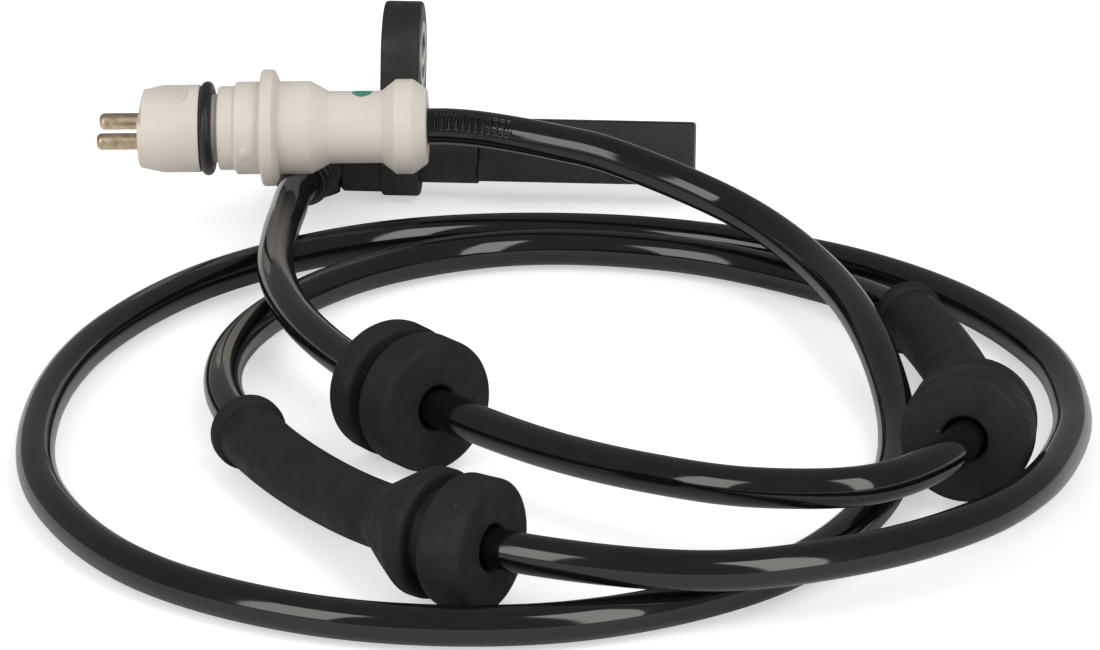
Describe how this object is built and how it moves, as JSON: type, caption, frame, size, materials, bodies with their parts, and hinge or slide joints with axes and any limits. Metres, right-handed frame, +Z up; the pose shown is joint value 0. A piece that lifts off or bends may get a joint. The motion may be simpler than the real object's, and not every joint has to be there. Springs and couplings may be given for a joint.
{
  "type": "wheel speed sensor",
  "caption": "Two-pin wheel speed sensor: moulded head with a bolt ear and steel bush, looped cable with rubber grommets, round sealed connector.",
  "frame": {"origin": "centre of the footprint of the sensor head, on the surface it lies on", "axes": "+X along the sensor head towards its sensing tip, +Y away from the looped cable, +Z up"},
  "size_m": [0.1369, 0.1734, 0.027],
  "materials": {
    "housing_plastic": "matte moulded, slightly grained",
    "bush_zinc": "zinc plated, satin",
    "pole_steel": "turned, satin",
    "winding_copper": "enamelled copper wire",
    "magnet_alloy": "ground alloy",
    "terminal_brass": "stamped strip",
    "white_wire": "satin insulation",
    "dark_wire": "satin insulation",
    "boot_rubber": "satin rubber",
    "cable_jacket": "glossy black jacket",
    "grommet_rubber": "matte rubber with fine dust",
    "connector_ivory": "satin ivory plastic",
    "seal_rubber": "satin rubber",
    "pin_brass": "tinned brass, slightly tarnished"
  },
  "bodies": {
    "root": {"sensor_housing": "housing_plastic", "ear_bush": "bush_zinc", "pole_pin": "pole_steel", "coil_bobbin": "housing_plastic", "coil_winding": "winding_copper", "bias_magnet": "magnet_alloy", "terminal_carrier": "housing_plastic", "terminal_a": "terminal_brass", "terminal_b": "terminal_brass", "head_wire_a": "white_wire", "head_wire_b": "dark_wire", "head_boot": "boot_rubber", "cable_tail": "cable_jacket", "cable_rear": "cable_jacket", "cable_bridge": "cable_jacket", "cable_inner_loop": "cable_jacket", "cable_outer_loop": "cable_jacket", "grommet_plain": "grommet_rubber", "grommet_right": "grommet_rubber", "grommet_front": "grommet_rubber", "connector_body": "connector_ivory", "connector_seal": "seal_rubber", "contact_pin_a": "pin_brass", "contact_pin_b": "pin_brass", "connector_relief": "boot_rubber", "connector_wire_a": "white_wire", "connector_wire_b": "dark_wire"}
  },
  "joints": []
}
